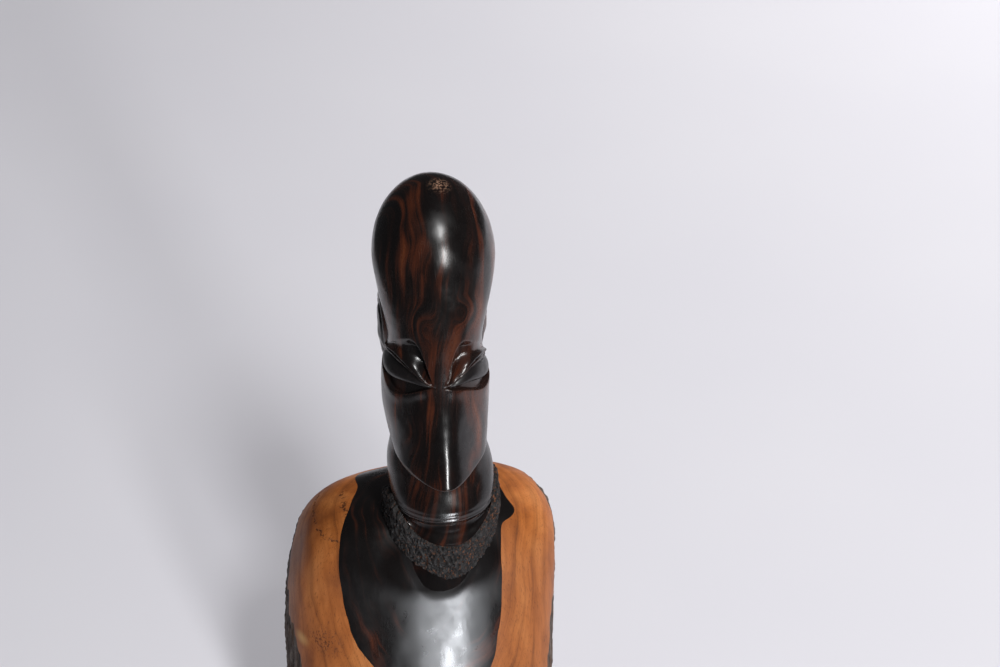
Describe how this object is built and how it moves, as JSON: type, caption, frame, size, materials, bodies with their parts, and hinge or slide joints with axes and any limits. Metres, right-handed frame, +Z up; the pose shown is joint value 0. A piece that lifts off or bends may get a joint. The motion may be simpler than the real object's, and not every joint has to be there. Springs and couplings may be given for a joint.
{
  "type": "carved ancestor figure",
  "caption": "Carved blackwood bust of a long-headed, bearded elder, standing on the flat sawn base of its log.",
  "frame": {"origin": "middle of the flat sawn base", "axes": "+Z up through the crown; the figure looks along -Y; its own right side is towards -X"},
  "size_m": [0.1291, 0.1115, 0.3355],
  "materials": {
    "heartwood": "wax-polished blackwood heartwood with red-brown figure",
    "sapwood": "polished orange-brown sapwood with fine dark pores",
    "rind": "rough weathered outer rind of the log",
    "beard": "matt blackwood covered in short gouge cuts",
    "eyes": "deeply polished blackwood"
  },
  "bodies": {
    "root": {"torso_heartwood": "heartwood", "sapwood_right": "sapwood", "sapwood_left": "sapwood", "rind_right": "rind", "rind_back": "rind", "rind_left": "rind", "neck": "heartwood", "muzzle": "heartwood", "lower_lip": "heartwood", "beard": "beard", "ear_right": "heartwood", "ear_left": "heartwood", "eye_right": "eyes", "eye_left": "eyes", "head": "heartwood"}
  },
  "joints": []
}
